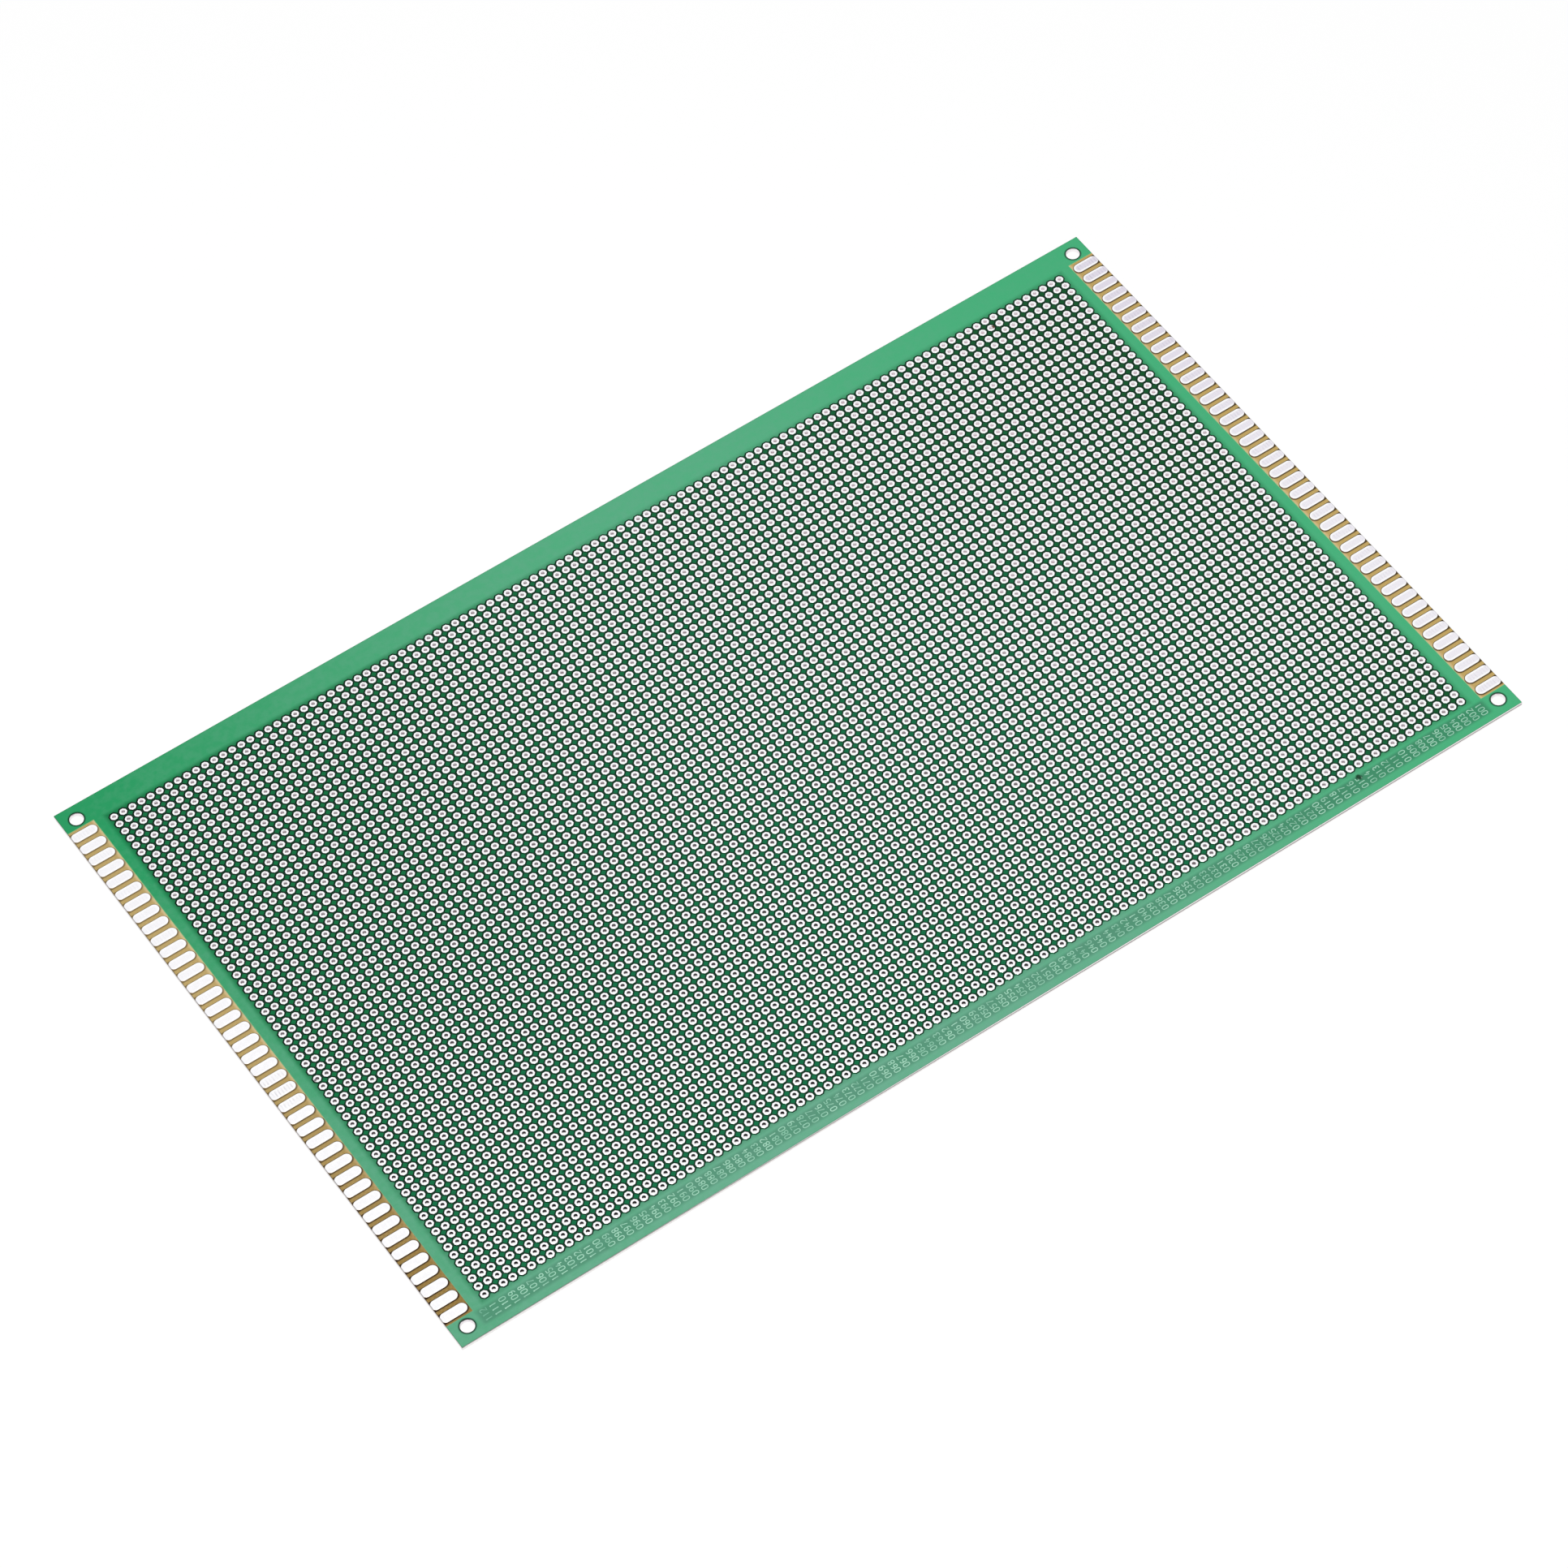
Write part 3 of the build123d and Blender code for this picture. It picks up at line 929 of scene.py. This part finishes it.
def mapPads(mesh, fromLine):  # gives each pad a cell of its own, unrolled into rings round the hole
    x, y, z = cornerPlaces(mesh)
    column, line, padX, padY = nearestPad(x, y)
    outward = np.stack([x - padX, y - padY])
    reach = np.hypot(*outward)
    low = z < (padsLow.z + padsHigh.z) / 2
    inner = reach < (padPlan["hole"] + padWidth) / 4
    rings = padPlan["bakeRings"]
    radius = np.select([low & inner, low, inner],
                       [rings["foot"], rings["skirt"], rings["rim"]], rings["crest"])
    hidden = np.repeat(low.reshape(-1, 4).all(1), 4)  # the underside
    radius[hidden & ~inner] = rings["under"]
    cell = (line - fromLine) * board["columns"] + column
    middle = np.stack([cell % padPlan["bakeColumns"], cell // padPlan["bakeColumns"]]) + 0.5
    keepMap(mesh, *(middle + outward / reach * radius / 2) / padPlan["bakeColumns"])


padsTree = makePadsTree()
groupLines = ceil(board["lines"] / padPlan["groups"])
for number, fromLine in enumerate(range(0, board["lines"], groupLines), 1):
    toLine = min(fromLine + groupLines, board["lines"])
    base = addObject("pads", bpy.data.meshes.new("pads"))
    pads = growPiece("pads_group_%d" % number, base, padsTree, {
        **spread(fromLine, toLine), "Height": padsLow.z, "Width": padWidth, "Hole": padPlan["hole"],
        "Sides": padPlan["sides"], "Rise": padsHigh.z - padsLow.z, "Dip": padPlan["dip"],
        "Shoulder": padPlan["shoulder"], "Finish": tinFinish})
    mapPads(pads.data, fromLine)
    settle(pads, "tin", "pad_strips")
print("pads built")

# Contacts, round at the inner end and cut off by the board's edge at the outer one


def contactRing(inset, side):  # once round, from the inner end's far side
    radius = contactPlan["width"] / 2 - inset
    edge = endX
    outerX = edge + contactPlan["trim"] - contactPlan["width"] / 2
    innerX = edge - contactPlan["tip"] + contactPlan["width"] / 2
    cut = acos(min((edge - outerX) / radius, 0.995))
    steps, few = contactPlan["arcSteps"], contactPlan["trimSteps"]
    ring = [(innerX, pi / 2 + pi * k / steps) for k in range(steps + 1)]
    ring += [(outerX, -pi / 2 + (pi / 2 - cut) * k / few) for k in range(few + 1)]
    ring += [(outerX, cut + (pi / 2 - cut) * k / few) for k in range(few + 1)]
    return [(side * (x + radius * cos(a)), radius * sin(a)) for x, a in ring]


def makeContact(name, side):
    low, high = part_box(name)
    points = [(x, y, low.z + share * (high.z - low.z)) for inset, share in contactPlan["rings"]
              for x, y in contactRing(inset * mm, side)]
    count = len(points) // len(contactPlan["rings"])
    faces = [list(range(count))[::-1], list(range(len(points) - count, len(points)))]
    for ring in range(len(contactPlan["rings"]) - 1):
        for k in range(count):
            a, b = ring * count + k, ring * count + (k + 1) % count
            faces.append([a, b, b + count, a + count])
    if side < 0:
        faces = [face[::-1] for face in faces]
    mesh = bpy.data.meshes.new(name)
    mesh.from_pydata(points, [], faces)
    for face in mesh.polygons:
        face.use_smooth = abs(face.normal.x) < 0.999 and len(face.vertices) == 4
    return addObject(name, mesh)


rowTree = makeRowTree()
for name, side in (("contacts_left", -1), ("contacts_right", 1)):
    row = growPiece(name + "_tinned", makeContact(name, side), rowTree, {
        "Count": contactCount, "Pitch": contactPlan["pitch"], "Finish": contactFinish})
    settle(row, "tin", name)
print("contacts built")

# Digits, drawn as plain pen strokes in a box one unit wide and one unit high


def bow(centreX, centreY, radiusX, radiusY, fromTurn, toTurn, steps=6):  # part of an oval, turns in degrees
    turns = [radians(fromTurn + (toTurn - fromTurn) * k / steps) for k in range(steps + 1)]
    return [(centreX + radiusX * cos(t), centreY + radiusY * sin(t)) for t in turns]


digitStrokes = {
    0: [bow(0, 0.22, 0.5, 0.28, 0, 180) + bow(0, -0.22, 0.5, 0.28, 180, 360)],
    1: [[(-0.16, 0.32), (0.05, 0.5)], [(0.05, 0.5), (0.05, -0.5)]],
    2: [bow(0, 0.22, 0.48, 0.28, 160, -20) + [(-0.5, -0.5), (0.5, -0.5)]],
    3: [bow(-0.02, 0.25, 0.46, 0.25, 150, -90, 7), bow(-0.02, -0.25, 0.5, 0.25, 90, -150, 7)],
    4: [[(0.0, 0.5), (-0.5, -0.12), (0.5, -0.12)], [(0.22, 0.16), (0.22, -0.5)]],
    5: [[(0.45, 0.5), (-0.42, 0.5), (-0.46, 0.08)], bow(-0.02, -0.18, 0.5, 0.32, 130, -150, 8)],
    6: [bow(0, -0.2, 0.48, 0.3, 0, 324, 9), bow(0.06, 0.12, 0.54, 0.38, 70, 190, 5)],
    7: [[(-0.5, 0.5), (0.5, 0.5), (-0.1, -0.5)]],
    8: [bow(0, 0.25, 0.4, 0.25, 0, 324, 9), bow(0, -0.25, 0.5, 0.25, 0, 324, 9)],
    9: [bow(0, 0.2, 0.48, 0.3, 0, 324, 9), bow(-0.06, -0.12, 0.54, 0.38, 250, 370, 5)],
}
closedDigits = (0, 6, 8, 9)  # the ovals these hold run all the way round
glyphs = bpy.data.collections.new("glyphs")
for digit, strokes in digitStrokes.items():
    points, edges = [], []
    for layer, stroke in enumerate(strokes):
        first = len(points)
        points += [(x * numberPlan["width"], y * numberPlan["height"], -layer * numberPlan["layer"])
                   for x, y in stroke]
        edges += [(first + k, first + k + 1) for k in range(len(stroke) - 1)]
        if digit in closedDigits and len(stroke) > 6:
            edges.append((len(points) - 1, first))
    mesh = bpy.data.meshes.new("glyph%d" % digit)
    mesh.from_pydata(points, edges, [])
    glyphs.objects.link(bpy.data.objects.new("glyph%d" % digit, mesh))

numbers = growPiece("printed_numbers", addObject("ink", bpy.data.meshes.new("ink")), makeNumbersTree(), {
    "Glyphs": glyphs, "Count": board["columns"] + 2 * numberPlan["pastPads"], "Pitch": board["pitch"],
    "First X": gridHalfX + numberPlan["pastPads"] * board["pitch"], "Centre Y": (inkLow.y + inkHigh.y) / 2,
    "Advance": numberPlan["advance"], "Height": (inkLow.z + inkHigh.z) / 2, "Stroke": numberPlan["stroke"],
    "Ink": inkHigh.z - inkLow.z, "Finish": inkFinish})
for glyph in list(glyphs.objects):
    bpy.data.objects.remove(glyph)
bpy.data.collections.remove(glyphs)
settle(numbers, "number_ink", "column_numbers")
print("numbers built")

# Stage: pale floor, even world, one soft lamp
stagePlan = {
    "floorSize": 8.0,
    "floorDrop": 0.05 * mm,
    "floorShare": 0.80,  # what glows by itself, the rest takes light and shadow
    "floorShown": 1.03,
    "floorFill": 0.6,  # what it gives the board, next to what it shows
    "worldFill": 0.6,
    "lampAt": (-0.32, -0.3, 0.95),
    "lampSize": 0.35,
    "lampWatts": 4.6,
}


def seenDirectly(tree):  # 1 for what the camera, a reflection or a view through glass shows
    path = place(tree, "ShaderNodeLightPath").outputs
    return larger(path["Is Camera Ray"], larger(path["Is Glossy Ray"], path["Is Transmission Ray"]))


size = stagePlan["floorSize"] / 2
drop = boardLow.z - stagePlan["floorDrop"]
mesh = bpy.data.meshes.new("floor")
mesh.from_pydata([(x * size, y * size, drop) for x, y in ((-1, -1), (1, -1), (1, 1), (-1, 1))],
                 [], [(0, 1, 2, 3)])
floor = addObject("floor", mesh)
material, tree, shader = newFinish("floorPaper", Base_Color=colour(254, 254, 254), Roughness=0.9)
fill = stagePlan["floorFill"]
strength = scaled(seenDirectly(tree), stagePlan["floorShown"] - fill, fill)
glow = place(tree, "ShaderNodeEmission", {"Strength": strength}).outputs[0]
paper = tree.nodes["Principled BSDF"].outputs[0]
shown = place(tree, "ShaderNodeMixShader", {0: stagePlan["floorShare"], 1: paper, 2: glow})
feed(shown.outputs[0], tree.nodes["Material Output"].inputs["Surface"])
mesh.materials.append(material)

world = bpy.data.worlds.new("paleRoom")
world.use_nodes = True
tree = world.node_tree
strength = scaled(seenDirectly(tree), 1.0 - stagePlan["worldFill"], stagePlan["worldFill"])
background = tree.nodes["Background"]
background.inputs["Color"].default_value = (1.0, 1.0, 1.0, 1.0)
feed(strength, background.inputs["Strength"])
scene.world = world

data = bpy.data.lights.new("softbox", "AREA")
data.shape, data.size, data.energy = "DISK", stagePlan["lampSize"], stagePlan["lampWatts"]
lamp = bpy.data.objects.new("softbox", data)
lamp.location = stagePlan["lampAt"]
lamp.rotation_euler = (-Vector(stagePlan["lampAt"])).to_track_quat("-Z", "Y").to_euler()
scene.collection.objects.link(lamp)

# Camera
cameraPlan = {
    "azimuth": -30.50,  # degrees, 0 looks along +Y
    "elevation": 54.59,
    "roll": -4.82,
    "distance": 1497.25 * mm,
    "aim": (-4.74 * mm, -5.49 * mm, 1.27 * mm),
    "lens": 145.11,
}
turn, rise = radians(cameraPlan["azimuth"]), radians(cameraPlan["elevation"])
back = Vector((sin(turn) * cos(rise), -cos(turn) * cos(rise), sin(rise)))
data = bpy.data.cameras.new("camera")
data.lens = cameraPlan["lens"]
camera = bpy.data.objects.new("camera", data)
camera.location = Vector(cameraPlan["aim"]) + back * cameraPlan["distance"]
level = (-back).to_track_quat("-Z", "Y").to_matrix()
camera.rotation_euler = (level @ Matrix.Rotation(radians(cameraPlan["roll"]), 3, "Z")).to_euler()
scene.collection.objects.link(camera)
scene.camera = camera
scene.view_settings.view_transform = "Standard"
print("stage and camera set")
